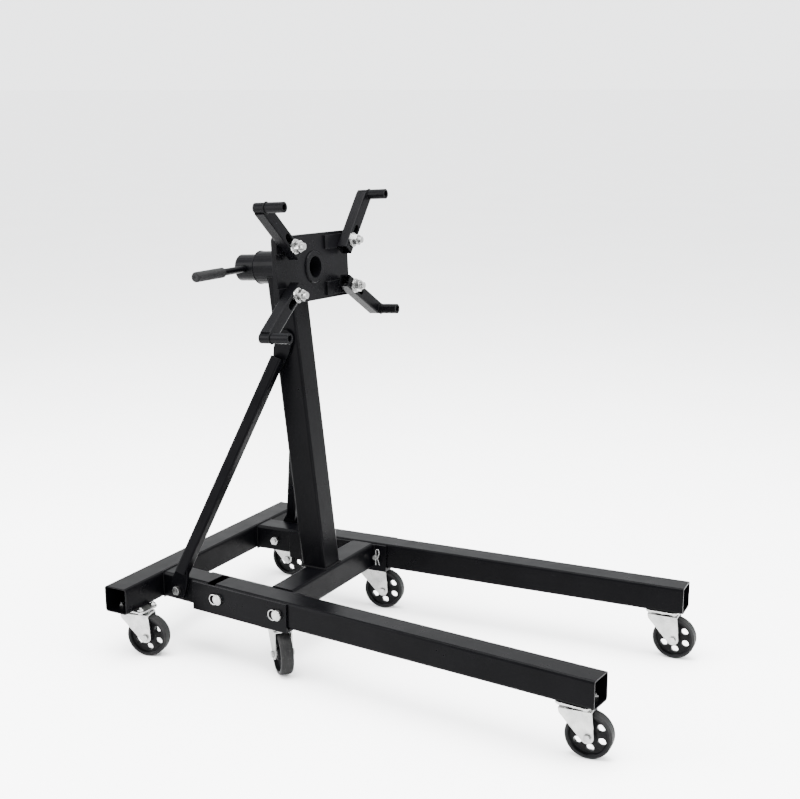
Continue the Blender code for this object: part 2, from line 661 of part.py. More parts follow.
def wheel_holes():
    """Round bars across the wheel, evenly spaced round its axle."""
    bars = bmesh.new()
    for i in range(WHEEL_HOLES):
        turn = turn_y((i + WHEEL_HOLE_TURN) * 360 / WHEEL_HOLES)
        centre = turn @ Vector((WHEEL_HOLE_PITCH, 0, 0))
        ends = []
        for y in (-0.03, 0.03):
            points = circle(WHEEL_HOLE_RADIUS, HOLE_STEPS, 0.1)
            ends.append([bars.verts.new((centre.x + a, y, centre.z + b)) for a, b in points])
        bars.faces.new(ends[0])
        bars.faces.new(ends[1][::-1])
        for k in range(HOLE_STEPS):
            m = (k + 1) % HOLE_STEPS
            bars.faces.new((ends[0][k], ends[1][k], ends[1][m], ends[0][m]))
    bmesh.ops.recalc_face_normals(bars, faces=bars.faces)
    return bars


def fork_mesh(crown):
    """The fork's outside: a tapered cheek outline seen from the side, extruded across."""
    top = crown + FORK_SHEET
    eye = 0.0135  # radius of the cheek round the axle
    outline = [(-CROWN_REACH, top), (-CROWN_REACH + 0.002, top - 0.010)]
    for i in range(7):
        a = math.radians(215 + 145 * i / 6)
        outline.append((TRAIL + eye * math.cos(a), WHEEL_RADIUS + eye * math.sin(a)))
    outline += [(CROWN_REACH + 0.002, top - 0.010), (CROWN_REACH, top)]
    return side_extrusion(outline, FORK_HALF_GAP + FORK_SHEET)


def fork_hollow(crown):
    return box((-0.1, -FORK_HALF_GAP, 0.0), (0.2, FORK_HALF_GAP, crown))


def main():
    clear_scene()
    made = make_materials()
    paint = made["black_paint"]
    zinc = made["zinc"]
    build_crossbars(paint)
    build_column(paint)
    for label, side in SIDES.items():
        build_rail(label, side, paint)
        build_brace(label, side, paint)
        build_pin(label + "_pivot_pin", side, PIVOT_S, zinc)
        build_pin(label + "_lock_pin", side, LOCK_S, zinc)
        foot = cross_frame(side, FOOT_BOLT_S, DECK_Z - FOOT_BOLT_DROP)
        half = TUBE / 2 + GAP
        through_bolt(label + "_brace_foot_bolt", zinc, foot, -half, half + BRACE_TAB + GAP)
    across = Matrix.Translation((REAR_X + BRACE_TOP_X, 0, DECK_Z + BRACE_TOP_RISE)) @ turn_z(90)
    seat = COLUMN / 2 + BRACE_TAB + 2 * GAP
    through_bolt("brace_top_bolt", zinc, across, -seat, seat)
    build_head(paint, zinc, made["rubber"])
    for name in CASTERS:
        build_caster(name, zinc, made["wheel_plastic"])


main()
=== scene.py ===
"""Looks of the folding engine stand: materials, weld beads, wheels, pin rings, clips and bolts.

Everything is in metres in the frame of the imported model: +X forward, +Y left, +Z up.
"""
import json
import math

import bmesh
import bpy
from mathutils import Matrix, Vector


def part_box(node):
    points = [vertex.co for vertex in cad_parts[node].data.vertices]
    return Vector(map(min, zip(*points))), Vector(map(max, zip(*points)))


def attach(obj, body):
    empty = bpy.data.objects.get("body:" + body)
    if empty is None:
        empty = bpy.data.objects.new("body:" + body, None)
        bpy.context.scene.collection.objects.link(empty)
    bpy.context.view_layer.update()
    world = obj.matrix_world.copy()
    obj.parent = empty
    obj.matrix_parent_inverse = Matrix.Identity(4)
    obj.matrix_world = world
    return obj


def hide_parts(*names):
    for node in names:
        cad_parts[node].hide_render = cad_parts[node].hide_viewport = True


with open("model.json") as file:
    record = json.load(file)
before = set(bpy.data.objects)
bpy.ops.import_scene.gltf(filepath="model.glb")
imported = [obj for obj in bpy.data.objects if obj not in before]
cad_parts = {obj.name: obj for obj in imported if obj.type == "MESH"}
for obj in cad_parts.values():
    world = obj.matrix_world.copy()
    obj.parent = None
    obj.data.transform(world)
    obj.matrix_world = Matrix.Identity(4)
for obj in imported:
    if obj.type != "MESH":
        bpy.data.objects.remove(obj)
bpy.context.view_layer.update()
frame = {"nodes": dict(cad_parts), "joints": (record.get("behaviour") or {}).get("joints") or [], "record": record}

JOINTS = {j["name"]: j for j in frame["joints"]}
MOUNTS = {m["name"]: m for m in frame["record"]["mounts"]}
SIDES = {"left": 1, "right": -1}
CORNERS = ("upper_left", "lower_left", "upper_right", "lower_right")
CASTERS = ("rear_left", "rear_right", "middle_left", "middle_right", "front_left", "front_right")

FORWARD = Vector((1, 0, 0))
LEFT = Vector((0, 1, 0))
UP = Vector((0, 0, 1))
DOWN = Vector((0, 0, -1))

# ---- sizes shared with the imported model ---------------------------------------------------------
TUBE = 0.0635
TUBE_WALL = 0.003
DECK_Z = 0.183              # top of the base tubes above the floor
PIVOT_S = 0.180             # pivot pin, along a rail from the rear crossbar's front face
LOCK_S = 0.356              # lock pin, from the same face
PIN_Z = DECK_Z - 0.032
SOCKET_START = 0.100
SOCKET_OUTER = 0.03705      # half width of a socket
COLUMN = 0.0675
COLUMN_LEAN = math.radians(6.6)
SLEEVE_RADIUS = 0.039
SLEEVE_REAR = -0.150        # the sleeve's rear end, along the head's axis
SLEEVE_FRONT = -0.022
HANDLE_ROLL = -1.2          # degrees about the head's axis
HANDLE_AT = -0.176
HANDLE_RADIUS = 0.0085
GRIP_RADIUS = 0.012
GRIP_START = -0.118         # along the handle bar, from the head's axis
GRIP_END = -0.222
GRIP_BORE_END = -0.2123
PEG_RADIUS = 0.012
PEG_FACE_MIDDLE = 0.00975   # middle of a peg tube's wall, where the peg mounts stand
PEG_LENGTH = 0.075
WHEEL_RADIUS = 0.050
WHEEL_HALF_WIDTH = 0.015
HUB_RADIUS = 0.015
WEB_HALF = 0.0045           # half thickness of the web between hub and rim
RIM_INNER = 0.041
AXLE_RADIUS = 0.005
WHEEL_HOLES = 6
WHEEL_HOLE_TURN = 0.42      # where the first hole stands at rest, as a share of their spacing
HOLE_PITCH = 0.0295         # wheel axis to the middle of a hole
HOLE_RADIUS = 0.0085
CASTER_PLATE_THICK = 0.0035


# ---- node materials -----------------------------------------------------------------------------
class Nodes:
    """Shorthand for wiring one material's node tree."""

    def __init__(self, name):
        self.material = bpy.data.materials.new(name)
        self.material.use_nodes = True
        self.tree = self.material.node_tree
        self.shader = self.tree.nodes["Principled BSDF"]
        self.place = self.add("ShaderNodeTexCoord").outputs["Object"]

    def add(self, kind, **values):
        """A new node with its settings."""
        node = self.tree.nodes.new(kind)
        for key, value in values.items():
            setattr(node, key, value)
        return node

    def link(self, source, target):
        self.tree.links.new(source, target)

    def noise(self, scale, detail=3.0, roughness=0.55):
        node = self.add("ShaderNodeTexNoise")
        node.inputs["Scale"].default_value = scale
        node.inputs["Detail"].default_value = detail
        node.inputs["Roughness"].default_value = roughness
        self.link(self.place, node.inputs["Vector"])
        return node.outputs["Fac"]

    def spread(self, value, low, high, out_low, out_high):
        """Maps a value from low..high to out_low..out_high, clamped."""
        node = self.add("ShaderNodeMapRange")
        self.link(value, node.inputs["Value"])
        for label, number in zip(("From Min", "From Max", "To Min", "To Max"),
                                 (low, high, out_low, out_high)):
            node.inputs[label].default_value = number
        return node.outputs["Result"]

    def math(self, operation, a, b):
        node = self.add("ShaderNodeMath", operation=operation)
        for socket, value in zip(node.inputs, (a, b)):
            if isinstance(value, (int, float)):
                socket.default_value = value
            else:
                self.link(value, socket)
        return node.outputs[0]

    def ramp(self, value, stops):
        """A colour that changes with a value, from (position, colour) stops."""
        node = self.add("ShaderNodeValToRGB")
        self.link(value, node.inputs["Fac"])
        while len(node.color_ramp.elements) < len(stops):
            node.color_ramp.elements.new(0.5)
        for element, (position, colour) in zip(node.color_ramp.elements, stops):
            element.position = position
            element.color = (*colour, 1.0)
        return node.outputs["Color"]

    def mix(self, amount, a, b):
        """Colour a where amount is 0, and b where it is 1."""
        node = self.add("ShaderNodeMix", data_type="RGBA")
        self.link(amount, node.inputs["Factor"])
        for index, value in ((6, a), (7, b)):
            if isinstance(value, tuple):
                node.inputs[index].default_value = (*value, 1.0)
            else:
                self.link(value, node.inputs[index])
        return node.outputs[2]

    def rounded(self, radius):
        """The normal that the surface would have with its edges rounded by the radius."""
        node = self.add("ShaderNodeBevel", samples=4)
        node.inputs["Radius"].default_value = radius
        return node.outputs["Normal"]

    def edges(self, radius, spread):
        """1 on sharp edges and 0 away from them, from how far a rounded normal turns there."""
        true = self.add("ShaderNodeNewGeometry")
        dot = self.add("ShaderNodeVectorMath", operation="DOT_PRODUCT")
        self.link(self.rounded(radius), dot.inputs[0])
        self.link(true.outputs["Normal"], dot.inputs[1])
        return self.spread(dot.outputs["Value"], 1.0 - spread, 1.0, 1.0, 0.0)

    def relief(self, height, distance, strength, radius):
        """Bump from a height, over edges that look rounded by the radius."""
        bump = self.add("ShaderNodeBump")
        bump.inputs["Distance"].default_value = distance
        bump.inputs["Strength"].default_value = strength
        self.link(height, bump.inputs["Height"])
        self.link(self.rounded(radius), bump.inputs["Normal"])
        self.link(bump.outputs["Normal"], self.shader.inputs["Normal"])

    def finish(self, colour, roughness, **constants):
        """Wires colour and roughness to the shader, sets the other inputs and returns the material."""
        self.link(colour, self.shader.inputs["Base Color"])
        self.link(roughness, self.shader.inputs["Roughness"])
        for label, value in constants.items():
            self.shader.inputs[label.replace("_", " ")].default_value = value
        return self.material


DUST = (0.0040, 0.0040, 0.0043)
# the edge colour below is partly rubbed paint and partly a painted highlight along rounded edges
RUBBED_PAINT_AND_EDGE_HIGHLIGHT = (0.012, 0.012, 0.013)
ZINC_GRAIN = (0.17, 0.17, 0.167)
ZINC_SPOTS = (0.11, 0.108, 0.10)
# colour of the painted highlight on zinc edges
ZINC_EDGE_HIGHLIGHT = (0.50, 0.50, 0.49)


def powder_coat(name, dark, light, gloss, bead=False):
    """Black powder coat: a fine orange-peel skin, faint cloudiness and lighter edges, partly rubbed paint and
    partly a painted highlight along the rounded edges.
    """
    n = Nodes(name)
    cloud = n.noise(9.0, 4.0)
    speck = n.noise(420.0, 2.0)
    colour = n.ramp(cloud, [(0.30, dark), (0.70, light)])
    dust = n.spread(speck, 0.62, 0.75, 0.0, 0.35)
    colour = n.mix(dust, colour, DUST)
    # lighter edges: partly rubbed paint, partly a painted highlight along the rounded edges
    rub_and_highlight = n.math("MULTIPLY", n.edges(0.0016, 0.22), n.spread(n.noise(26.0), 0.42, 0.66, 0.10, 0.75))
    colour = n.mix(rub_and_highlight, colour, RUBBED_PAINT_AND_EDGE_HIGHLIGHT)
    rough = n.spread(n.noise(22.0, 5.0), 0.25, 0.75, gloss, gloss + 0.13)
    skin = n.math("ADD", n.noise(700.0, 2.0), n.math("MULTIPLY", n.noise(160.0, 2.0), 0.8))
    n.relief(skin, 0.00012, 0.30 if bead else 0.22, 0.0012)
    return n.finish(colour, rough, Specular_IOR_Level=0.025)


def zinc_plate(name, low, high, gloss):
    """Zinc plate: cool patches, a fine crystal grain, darker worn spots and a painted highlight that brightens the
    edges.
    """
    n = Nodes(name)
    patch = n.noise(38.0, 5.0)
    colour = n.ramp(patch, [(0.28, low), (0.72, high)])
    spangle = n.add("ShaderNodeTexVoronoi", feature="F1")
    spangle.inputs["Scale"].default_value = 260.0
    n.link(n.place, spangle.inputs["Vector"])
    grain = n.spread(spangle.outputs["Distance"], 0.1, 0.9, 0.0, 0.22)
    colour = n.mix(grain, colour, ZINC_GRAIN)
    spots = n.spread(n.noise(120.0, 3.0, 0.7), 0.60, 0.72, 0.0, 0.45)
    colour = n.mix(spots, colour, ZINC_SPOTS)
    # painted highlight: the colour is brightened evenly along every edge
    edge_highlight = n.edges(0.0012, 0.25)
    colour = n.mix(n.math("MULTIPLY", edge_highlight, 0.6), colour, ZINC_EDGE_HIGHLIGHT)
    rough = n.spread(n.noise(75.0, 5.0), 0.25, 0.75, gloss, gloss + 0.20)
    n.relief(n.noise(900.0, 3.0), 0.00010, 0.20, 0.0008)
    return n.finish(colour, rough, Metallic=1.0)


def moulded(name, dark, light, wear_and_highlight, gloss, grain):
    """Moulded rubber or plastic: fine grain, scuffs, and paler edges that are partly worn and partly a painted
    highlight.
    """
    n = Nodes(name)
    colour = n.ramp(n.noise(30.0, 4.0), [(0.30, dark), (0.70, light)])
    scuff = n.spread(n.noise(210.0, 4.0, 0.7), 0.56, 0.72, 0.0, 0.5)
    colour = n.mix(scuff, colour, wear_and_highlight)
    # paler edges: partly wear, partly a painted highlight along the rounded edges
    rub_and_highlight = n.math("MULTIPLY", n.edges(0.0014, 0.25), 0.55)
    colour = n.mix(rub_and_highlight, colour, wear_and_highlight)
    rough = n.spread(n.noise(60.0, 4.0), 0.25, 0.75, gloss, gloss + 0.18)
    n.relief(n.noise(grain, 3.0), 0.00025, 0.35, 0.0010)
    return n.finish(colour, rough, Specular_IOR_Level=0.04)


PAINT = powder_coat("powder_coat", (0.0004, 0.0004, 0.0006), (0.0010, 0.0010, 0.0013), 0.25)
HEAD_PAINT = powder_coat("powder_coat_head", (0.0009, 0.0009, 0.0011), (0.0020, 0.0020, 0.0024), 0.22)
BEAD = powder_coat("powder_coat_weld", (0.0008, 0.0008, 0.0010), (0.0018, 0.0018, 0.0020), 0.28, bead=True)
ZINC = zinc_plate("zinc_plate", (0.20, 0.203, 0.20), (0.36, 0.36, 0.352), 0.22)
HARDWARE = zinc_plate("zinc_hardware", (0.16, 0.163, 0.163), (0.34, 0.34, 0.333), 0.20)
RUBBER = moulded("grip_rubber", dark=(0.0050, 0.0050, 0.0053), light=(0.0090, 0.0090, 0.0092),
                 wear_and_highlight=(0.018, 0.018, 0.018), gloss=0.52, grain=520.0)
WHEEL = moulded("wheel_moulding", dark=(0.0020, 0.0020, 0.0023), light=(0.0042, 0.0042, 0.0045),
                wear_and_highlight=(0.014, 0.014, 0.014), gloss=0.34, grain=420.0)
TREAD = moulded("wheel_tread", dark=(0.0060, 0.0060, 0.0062), light=(0.012, 0.012, 0.012),
                wear_and_highlight=(0.030, 0.030, 0.029), gloss=0.46, grain=300.0)

for node_name, node in frame["nodes"].items():
    if node_name.endswith("_wheel"):
        chosen = WHEEL
    elif node_name.endswith(("_caster_plate", "_fork")):
        chosen = ZINC
    elif node_name.endswith(("_pin", "_bolt", "_nut", "_axle")):
        chosen = HARDWARE
    elif node_name == "handle_grip":
        chosen = RUBBER
    elif node_name.endswith("_arm") or node_name in ("head_sleeve", "head_spindle", "mounting_plate"):
        chosen = HEAD_PAINT
    else:
        chosen = PAINT
    for material_slot in node.material_slots:
        material_slot.material = chosen


# ---- making pieces ------------------------------------------------------------------------------
def mesh_data(name, mesh):
    """Stores a bmesh as mesh data and frees it."""
    data = bpy.data.meshes.new(name)
    mesh.to_mesh(data)
    mesh.free()
    return data


def in_scene(name, data):
    """A new object in the scene."""
    obj = bpy.data.objects.new(name, data)
    bpy.context.scene.collection.objects.link(obj)
    return obj


def piece(name, mesh, materials, body, matrix=None, smooth=40.0):
    """Turns a bmesh into a piece that rides on a body. Edges under the smooth angle are shaded round."""
    bmesh.ops.recalc_face_normals(mesh, faces=mesh.faces)
    data = mesh_data(name, mesh)
    if matrix is not None:
        data.transform(matrix)
    for material in materials:
        data.materials.append(material)
    data.set_sharp_from_angle(angle=math.radians(smooth))
    for face in data.polygons:
        face.use_smooth = True
    obj = in_scene(name, data)
    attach(obj, body)
    return obj


def hardware(name, mesh, body, matrix=None, smooth=40.0):
    """A zinc piece: a bolt, nut, rivet, ring or clip."""
    return piece(name, mesh, [HARDWARE], body, matrix, smooth)


def join_rings(mesh, rings, shift=0):
    """Joins each ring of vertices to the next with faces."""
    around = len(rings[0])
    for a, b in zip(rings, rings[1:]):
        for k in range(around):
            m = (k + 1) % around
            mesh.faces.new((a[k], a[m], b[(m + shift) % around], b[(k + shift) % around]))


def sweep(path, radius, around=8, closed=False, ripple=0.0, pitch=0.005):
    """A round bar along a path of points. The ripple makes the scales of a weld bead."""
    path = [Vector(p) for p in path]
    count = len(path)
    mesh = bmesh.new()
    rings = []
    normal = None
    travelled = 0.0
    for i, point in enumerate(path):
        before = path[i - 1] if (i > 0 or closed) else point
        after = path[(i + 1) % count] if (i < count - 1 or closed) else point
        along = (after - before).normalized()
        if normal is None:
            normal = along.orthogonal()
        normal = (normal - along * normal.dot(along)).normalized()
        side = along.cross(normal)
        if i:
            travelled += (point - path[i - 1]).length
        size = radius * (1.0 + ripple * math.sin(2 * math.pi * travelled / pitch))
        rings.append([mesh.verts.new(p) for p in circle(point, normal, side, size, around)])
    join_rings(mesh, rings)
    if closed:
        # the last ring may stand turned against the first, so join each vertex to its nearest
        gaps = [sum((rings[-1][k].co - rings[0][(k + s) % around].co).length for k in range(around))
                for s in range(around)]
        join_rings(mesh, (rings[-1], rings[0]), gaps.index(min(gaps)))
    else:
        mesh.faces.new(rings[0][::-1])
        mesh.faces.new(rings[-1])
    return mesh


def circle(centre, u, v, radius, steps):
    """Points of a circle in the plane of the unit directions u and v."""
    turns = [2 * math.pi * k / steps for k in range(steps)]
    return [centre + radius * (math.cos(a) * u + math.sin(a) * v) for a in turns]


def circle_about(centre, axis, radius, steps):
    """Points of a circle round a unit axis."""
    u = axis.orthogonal().normalized()
    return circle(centre, u, axis.cross(u), radius, steps)


def densify(corners, step=0.0012, closed=True):
    """Points along straight lines between corners, evenly spaced."""
    corners = [Vector(c) for c in corners]
    ends = corners[1:] + ([corners[0]] if closed else [])
    points = []
    for a, b in zip(corners, ends):
        parts = max(2, round((b - a).length / step))
        points += [a.lerp(b, i / parts) for i in range(parts)]
    if not closed:
        points.append(corners[-1])
    return points


def weld(name, path, radius=0.0022, closed=True):
    """A rippled weld bead on the stand, along a path of points."""
    mesh = sweep(path, radius, closed=closed, ripple=0.16, pitch=0.0042)
    return piece(name, mesh, [BEAD], "stand", smooth=60.0)


def lathe(profile, steps=48, closed=False):
    """Turns (along, radius) points about X."""
    mesh = bmesh.new()
    rings = []
    for x, r in profile:
        ring = []
        for k in range(steps):
            a = 2 * math.pi * k / steps
            ring.append(mesh.verts.new((x, r * math.cos(a), r * math.sin(a))))
        rings.append(ring)
    join_rings(mesh, rings + rings[:1] if closed else rings)
    if not closed:
        mesh.faces.new(rings[0])
        mesh.faces.new(rings[-1][::-1])
    bmesh.ops.recalc_face_normals(mesh, faces=mesh.faces)
    return mesh


def hexagon_head(across_flats, height):
    """A bolt head or nut along +X with a chamfered top."""
    chamfer = 0.0008
    mesh = bmesh.new()
    radius = across_flats / math.sqrt(3)
    rings = []
    for x, scale in ((0.0, 1.0), (height - chamfer, 1.0), (height, 0.88)):
        corners = [math.radians(60 * k) for k in range(6)]
        rings.append([mesh.verts.new((x, radius * scale * math.cos(a), radius * scale * math.sin(a)))
                      for a in corners])
    join_rings(mesh, rings)
    mesh.faces.new(rings[0][::-1])
    mesh.faces.new(rings[-1])
    return mesh


def along_x(point, direction, up=UP):
    """A frame at point whose X is direction."""
    x = Vector(direction).normalized()
    y = up.cross(x).normalized()
    if y.length < 0.5:
        y = x.orthogonal().normalized()
    z = x.cross(y)
    return Matrix(((x.x, y.x, z.x, point[0]), (x.y, y.y, z.y, point[1]),
                   (x.z, y.z, z.z, point[2]), (0, 0, 0, 1)))


def facing_down(x, y, z):
    """A frame whose X points at the floor."""
    return along_x((x, y, z), DOWN, FORWARD)


def facing_up(x, y, z):
    """A frame whose X points away from the floor."""
    return along_x((x, y, z), UP, FORWARD)


def level_frame(forward, left, at):
    """A frame at a point with Z up, from its level X and Y."""
    return Matrix(((forward.x, left.x, 0, at.x), (forward.y, left.y, 0, at.y),
                   (0, 0, 1, at.z), (0, 0, 0, 1)))


# ---- places worked out from the joints ----------------------------------------------------------
def rail(side):
    """The rail's frame at the pivot pin: X along the rail, Y to the left."""
    joint = JOINTS[side + "_leg_fold"]
    across = -Vector(joint["axis"])
    along = across.cross(UP).normalized()
    return level_frame(along, across, Vector(joint["pos_m"]))


def rail_directions(side):
    """The rail's forward and left directions."""
    turn = rail(side).to_3x3()
    return turn @ FORWARD, turn @ LEFT


def rail_point(side, s, across, z):
    """s along the rail from the crossbar, across to the left of its centreline, z above the floor."""
    local = rail(side)
    return local @ Vector((s - PIVOT_S, across, z - local.translation.z))


def rail_s(side, x):
    """How far along the rail a point of its centreline is that stands at x."""
    return PIVOT_S + (x - rail(side).translation.x) / rail_directions(side)[0].x


HEAD = JOINTS["head_spin"]
HEAD_AXIS = Vector(HEAD["axis"]).normalized()
HEAD_AT = Vector(HEAD["pos_m"])
HEAD_UP = Vector((-HEAD_AXIS.z, 0, HEAD_AXIS.x))


def head_point(along):
    """A point on the head's axis."""
    return HEAD_AT + along * HEAD_AXIS


# ---- wheels -------------------------------------------------------------------------------------
X_TO_Y = Matrix.Rotation(math.radians(90), 4, "Z")
TREAD_ROUND = 0.0045         # radius of the tread's shoulders
TREAD_STEPS = 6
TREAD_START = WHEEL_RADIUS - 0.0052
WHEEL_STEPS = 64
HOLE_STEPS = 24
HOLE_BAR = 0.03              # half length of the bars that cut the holes
RIM_BEVEL = 0.0007
SPACER_AT = 0.01515          # wheel centre to the near face of a spacer
SPACER_BORE = 0.0052
KINGPIN_PROFILE = [(0.0, 0.0066), (0.0010, 0.0064), (0.0024, 0.0052), (0.0030, 0.0022), (0.0031, 0.0006)]
SPACER_PROFILE = [(0.0, SPACER_BORE), (0.0, 0.0090), (0.0026, 0.0088), (0.0031, 0.0080),
                  (0.0031, SPACER_BORE)]


def wheel_profile():
    """A closed section of a wheel as (across, radius): hub, recessed web, rim and grooved tread."""
    half = WHEEL_HALF_WIDTH
    side = [(half, AXLE_RADIUS + 0.0004), (half, HUB_RADIUS - 0.0012), (half - 0.0008, HUB_RADIUS - 0.0003),
            (WEB_HALF + 0.0016, HUB_RADIUS + 0.0006), (WEB_HALF + 0.0004, HUB_RADIUS + 0.0014),
            (WEB_HALF, HUB_RADIUS + 0.0030), (WEB_HALF, RIM_INNER - 0.0024),
            (WEB_HALF + 0.0005, RIM_INNER - 0.0010), (WEB_HALF + 0.0018, RIM_INNER - 0.0002),
            (half - 0.0006, RIM_INNER + 0.0003), (half, RIM_INNER + 0.0011), (half, WHEEL_RADIUS - 0.0050)]
    for i in range(1, TREAD_STEPS + 1):
        a = math.radians(90 * i / TREAD_STEPS)
        side.append((half - TREAD_ROUND + TREAD_ROUND * math.cos(a),
                     WHEEL_RADIUS - TREAD_ROUND + TREAD_ROUND * math.sin(a)))
    side += [(0.0058, WHEEL_RADIUS), (0.0050, WHEEL_RADIUS - 0.0006), (0.0042, WHEEL_RADIUS)]
    return side + [(-x, r) for x, r in side[::-1]]


def hole_bars():
    """Round bars across a wheel, where its holes are cut."""
    bars = bmesh.new()
    for i in range(WHEEL_HOLES):
        turn = Matrix.Rotation(math.radians((i + WHEEL_HOLE_TURN) * 360 / WHEEL_HOLES), 4, "Y")
        bar = lathe([(-HOLE_BAR, HOLE_RADIUS), (HOLE_BAR, HOLE_RADIUS)], HOLE_STEPS)
        bar.transform(turn @ Matrix.Translation((HOLE_PITCH, 0, 0)) @ X_TO_Y)
        bars.from_mesh(mesh_data("hole", bar))
    return bars


def wheel_mesh():
    """One detailed wheel about Y at the origin."""
    disc = lathe(wheel_profile(), WHEEL_STEPS, closed=True)
    disc.transform(X_TO_Y)
    template = in_scene("wheel_template", mesh_data("wheel_disc", disc))
    cutter = in_scene("wheel_cutter", mesh_data("wheel_cutter", hole_bars()))
    boolean = template.modifiers.new("holes", "BOOLEAN")
    boolean.operation = "DIFFERENCE"
    boolean.solver = "EXACT"
    boolean.object = cutter
    bevel = template.modifiers.new("rims", "BEVEL")
    bevel.width = RIM_BEVEL
    bevel.segments = 2
    bevel.limit_method = "ANGLE"
    bevel.angle_limit = math.radians(50)
    bpy.context.view_layer.update()
    evaluated = template.evaluated_get(bpy.context.evaluated_depsgraph_get())
    result = bpy.data.meshes.new_from_object(evaluated)
    for obj in (template, cutter):
        bpy.data.objects.remove(obj, do_unlink=True)
    return result


wheel_template = wheel_mesh()
for caster in CASTERS:
    joint = JOINTS[caster + "_wheel_roll"]
    centre = Vector(joint["pos_m"])
    roll_axis = Vector(joint["axis"]).normalized()
    heading = Vector((roll_axis.y, -roll_axis.x, 0))
    solid = bmesh.new()
    solid.from_mesh(wheel_template)
    for face in solid.faces:
        middle = face.calc_center_median()
        face.material_index = 1 if math.hypot(middle.x, middle.z) > TREAD_START else 0
    wheel = piece(caster + "_rolled_wheel", solid, [WHEEL, TREAD], caster + "_wheel_body",
                  level_frame(heading, roll_axis, centre), 35.0)
    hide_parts(caster + "_wheel")

    # the kingpin's rivet head, under the fork's crown
    fork_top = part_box(caster + "_fork")[1].z
    swivel = Vector(JOINTS[caster + "_caster_swivel"]["pos_m"])
    hardware(caster + "_kingpin", lathe(KINGPIN_PROFILE, 20), caster + "_caster",
             facing_down(swivel.x, swivel.y, fork_top - 0.0031))
    for label, direction in (("left", 1), ("right", -1)):
        outward = roll_axis * direction
        hardware(caster + "_spacer_" + label, lathe(SPACER_PROFILE, 24, closed=True),
                 caster + "_wheel_body", along_x(centre + outward * SPACER_AT, outward))

# ---- bolts of the caster plates -----------------------------------------------------------------
PLATE_BOLT_X = 0.0285
PLATE_BOLT_Y = 0.0225
PLATE_BOLT_TURN = 17         # degrees that each bolt is turned from the one before
HEAD_ACROSS = 0.0105
HEAD_HEIGHT = 0.0042
NUT_ACROSS = 0.0130
NUT_HEIGHT = 0.0056
TAIL_PROFILE = [(0.0, 0.0036), (0.0030, 0.0036), (0.0036, 0.0030)]
DOME_PROFILE = [(0.0, 0.0052), (0.0004, 0.0050), (0.0008, 0.0040), (0.00095, 0.0015)]

for caster in CASTERS:
    place, side = caster.split("_")
    swivel = Vector(JOINTS[caster + "_caster_swivel"]["pos_m"])
    plate_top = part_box(caster + "_caster_plate")[1].z
    under = plate_top - CASTER_PLATE_THICK - 0.0001
    holder = side + "_leg_assembly" if place == "front" else "stand"
    forward, left = (FORWARD, LEFT) if place == "rear" else rail_directions(side)
    for number, (sx, sy) in enumerate(((1, 1), (1, -1), (-1, 1), (-1, -1)), 1):
        at = Vector((swivel.x, swivel.y, 0)) + forward * sx * PLATE_BOLT_X + left * sy * PLATE_BOLT_Y
        label = f"{caster}_plate_bolt_{number}"
        if place == "middle":
            # little room between this plate and the swivelling fork: low domes without nuts
            hardware(label, lathe(DOME_PROFILE, 20), holder, facing_down(at.x, at.y, under))
            continue
        turn = Matrix.Rotation(math.radians(PLATE_BOLT_TURN * number), 4, "X")
        hardware(label, hexagon_head(HEAD_ACROSS, HEAD_HEIGHT), holder,
                 facing_down(at.x, at.y, under) @ turn, 20.0)
        # the nuts stand on the tube's floor inside, or on the plate where it reaches past the tube
        on_plate = place == "rear" and sx > 0
        seat = (plate_top if on_plate else DECK_Z - TUBE + TUBE_WALL) + 0.0002
        hardware(label + "_nut", hexagon_head(NUT_ACROSS, NUT_HEIGHT), holder,
                 facing_up(at.x, at.y, seat) @ turn, 20.0)
        hardware(label + "_tail", lathe(TAIL_PROFILE, 16), holder,
                 facing_up(at.x, at.y, seat + NUT_HEIGHT - 0.0002))

# ---- weld beads ---------------------------------------------------------------------------------
BEAD_OUT = 0.0006            # a bead's centreline above the surface that it runs along
crossbar_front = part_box("rear_crossbar")[1].x
middle_low, middle_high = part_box("middle_crossbar")
for side, sign in SIDES.items():
    half = TUBE / 2 - 0.0008
    path = []
    for across, z in ((half, DECK_Z), (-half, DECK_Z), (-half, DECK_Z - TUBE), (half, DECK_Z - TUBE)):
        point = rail_point(side, 0.0005, across, z)
        point.x = crossbar_front + BEAD_OUT
        path.append(point)
    weld(side + "_stub_weld", densify(path))
    # up both sides of the stub, where it enters the socket
    socket_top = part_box(side + "_socket")[1].z
    for label, direction in (("right", -1), ("left", 1)):
        across = direction * (TUBE / 2 + BEAD_OUT)
        path = [rail_point(side, SOCKET_START - 0.0008, across, z)
                for z in (DECK_Z - TUBE, socket_top - 0.002)]
        weld(f"{side}_socket_weld_{label}", densify(path, closed=False), closed=False)
    # down the front and the rear of the middle crossbar, where it meets the socket
    for label, x in (("front", middle_high.x), ("rear", middle_low.x)):
        path = [rail_point(side, rail_s(side, x), -sign * (SOCKET_OUTER + BEAD_OUT), z)
                for z in (middle_high.z - 0.003, middle_low.z + 0.003)]
        weld(f"{side}_middle_weld_{label}", densify(path, closed=False), closed=False)

